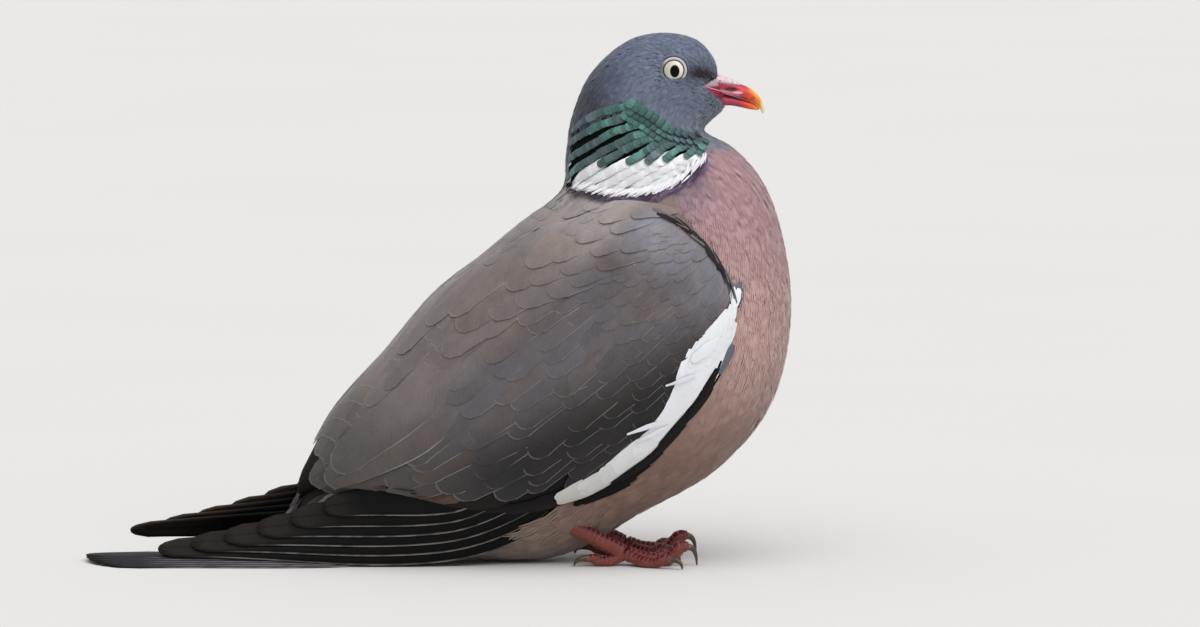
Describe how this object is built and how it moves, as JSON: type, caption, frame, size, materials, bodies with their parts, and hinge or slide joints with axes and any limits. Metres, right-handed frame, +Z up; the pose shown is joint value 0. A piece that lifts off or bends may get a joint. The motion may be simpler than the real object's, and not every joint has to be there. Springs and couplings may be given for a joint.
{
  "type": "wood pigeon",
  "caption": "Adult wood pigeon at rest, crouched over its feet with wings folded and tail laid flat behind it; a still, life-size model.",
  "frame": {"origin": "middle of the bounding box's floor, where the feet and the tail rest", "axes": "+X from the tail towards the bill, +Y to the bird's left, +Z up"},
  "size_m": [0.2612, 0.0988, 0.1959],
  "materials": {
    "head_feathers": "fine blue-grey feathers, soft and matt",
    "neck_feathers": "green and purple iridescent feathers over a white patch",
    "body_feathers": "vinous pink breast fading to a cream belly, soft and matt",
    "wing_feathers": "grey-brown overlapping coverts with a white leading edge",
    "quills": "blackish-brown flight feathers, faintly glossy",
    "bill": "horn, pink-red at the base and orange-yellow at the tip",
    "cere": "powdery pinkish white skin",
    "eye": "wet, pale yellow iris round a dark upright pupil",
    "leg": "scaly red skin with darker shields along the front",
    "claw": "brown horn"
  },
  "bodies": {
    "root": {"head": "head_feathers", "neck": "neck_feathers", "trunk": "body_feathers", "bill_upper": "bill", "bill_lower": "bill", "cere": "cere", "eye_left": "eye", "eye_right": "eye", "wing_left": "wing_feathers", "wing_right": "wing_feathers", "primaries_left": "quills", "primaries_right": "quills", "tail": "quills", "leg_left": "leg", "leg_right": "leg", "claw_hind_left": "claw", "claw_inner_left": "claw", "claw_middle_left": "claw", "claw_outer_left": "claw", "claw_hind_right": "claw", "claw_inner_right": "claw", "claw_middle_right": "claw", "claw_outer_right": "claw"}
  },
  "joints": []
}
